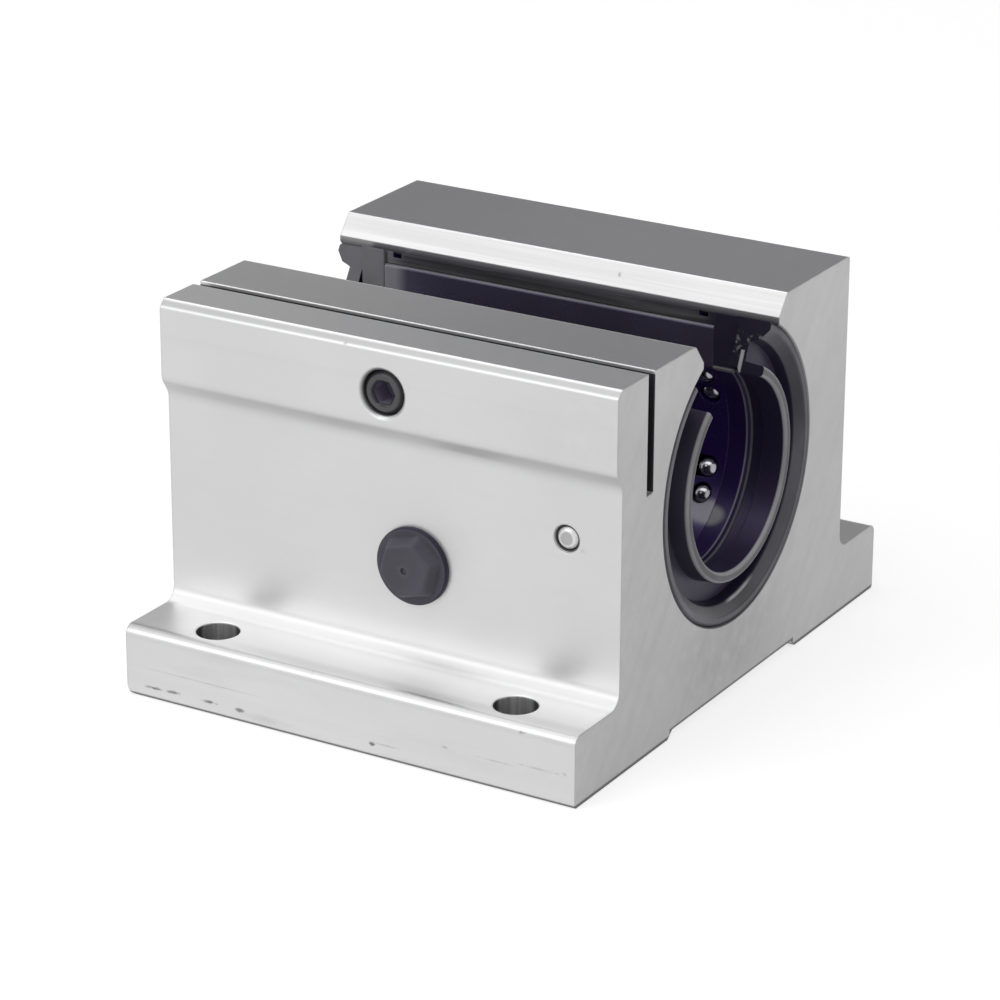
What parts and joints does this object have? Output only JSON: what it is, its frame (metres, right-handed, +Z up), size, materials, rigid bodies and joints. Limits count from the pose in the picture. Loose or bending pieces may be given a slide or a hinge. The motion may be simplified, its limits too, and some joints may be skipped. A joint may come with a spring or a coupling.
{
  "type": "linear bearing block",
  "caption": "Open pillow block for a rail-supported shaft: flanged extruded housing with adjusting slot and screw, recirculating ball bearing and end seals.",
  "frame": {"origin": "middle of the base, on the plane of the mounting face", "axes": "+X along the shaft, +Y across it away from the adjusting screw, +Z up from the mounting face to the opening"},
  "size_m": [0.0674, 0.0826, 0.051],
  "materials": {
    "housing_aluminium": "satin, as extruded",
    "blackened_steel": "black oxide",
    "plug_plastic": "moulded",
    "pin_steel": "ground",
    "sleeve_plastic": "moulded",
    "retainer_plastic": "moulded",
    "ring_plastic": "moulded",
    "plate_steel": "ground",
    "ball_steel": "polished",
    "seal_rubber": "moulded"
  },
  "bodies": {
    "block": {"housing": "housing_aluminium", "lubrication_plug": "plug_plastic", "bearing_lock_pin": "pin_steel", "outer_sleeve": "sleeve_plastic", "ball_retainer": "retainer_plastic", "retainer_end_ring_front": "ring_plastic", "retainer_end_ring_rear": "ring_plastic", "load_plate_1": "plate_steel", "load_plate_2": "plate_steel", "load_plate_3": "plate_steel", "load_plate_4": "plate_steel", "load_plate_5": "plate_steel", "ball_circuit_1": "ball_steel", "ball_circuit_2": "ball_steel", "ball_circuit_3": "ball_steel", "ball_circuit_4": "ball_steel", "ball_circuit_5": "ball_steel", "end_seal_front": "seal_rubber", "end_seal_rear": "seal_rubber"},
    "screw": {"adjusting_screw": "blackened_steel"}
  },
  "joints": [
    {"name": "adjusting_screw_turn", "type": "hinge", "parent": "block", "child": "screw", "pos_m": [0, -0.0267, 0.04455], "axis": [0, -1, 0], "range_deg": [0, 450]}
  ]
}
